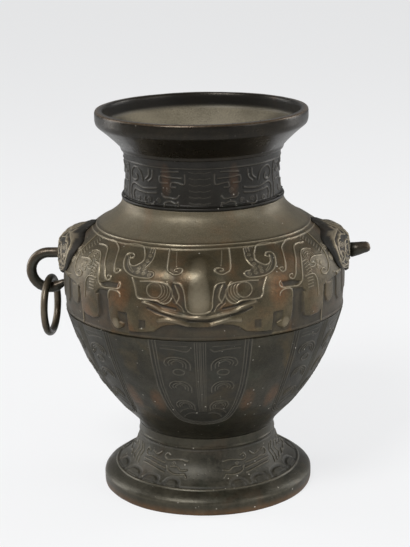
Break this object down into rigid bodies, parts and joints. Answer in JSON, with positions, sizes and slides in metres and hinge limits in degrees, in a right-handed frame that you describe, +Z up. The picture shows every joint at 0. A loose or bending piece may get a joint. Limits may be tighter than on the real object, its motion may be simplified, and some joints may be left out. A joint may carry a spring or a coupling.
{
  "type": "footed bronze vase",
  "caption": "Round-bellied footed vase of cast bronze with a flared mouth, ornament bands and beast-mask handles, one loop carrying a swinging ring, the other broken off.",
  "frame": {"origin": "the vase's axis at the plane that its foot stands on", "axes": "+Z up along the vase's axis, -Y towards the front of the ornament, -X towards the handle that keeps its loop and ring"},
  "size_m": [0.2878, 0.2344, 0.32],
  "materials": {
    "rim_bronze": "dark brown patinated bronze, satin with worn lighter edges",
    "neck_bronze": "dark brown patinated bronze with low-relief ornament",
    "body_bronze": "olive-brown patinated bronze with raised ornament band worn to tan on its ridges",
    "lower_bronze": "greenish dark patinated bronze with raised hanging blades",
    "foot_bronze": "greenish dark patinated bronze, dusty, with low-relief ornament",
    "base_bronze": "dull patinated bronze plate",
    "mask_bronze": "brown patinated bronze beast mask, worn lighter on its ridges",
    "rivet_bronze": "bare aged bronze rivets, hidden inside",
    "handle_bronze": "smooth dark olive bronze, polished by handling",
    "ring_bronze": "smooth dark olive bronze, polished by handling"
  },
  "bodies": {
    "vessel": {"mouth_rim": "rim_bronze", "neck_collar": "neck_bronze", "upper_body": "body_bronze", "lower_body": "lower_bronze", "foot_ring": "foot_bronze", "base_plate": "base_bronze", "left_mask": "mask_bronze", "right_mask": "mask_bronze", "left_mask_rivets": "rivet_bronze", "right_mask_rivets": "rivet_bronze", "left_loop": "handle_bronze", "right_loop_stub": "handle_bronze"},
    "ring": {"left_ring": "ring_bronze"}
  },
  "joints": [
    {"name": "ring_lift", "type": "hinge", "parent": "vessel", "child": "ring", "pos_m": [-0.12994, 0, 0.1846], "axis": [0, 1, 0], "range_deg": [-13, 178]}
  ]
}
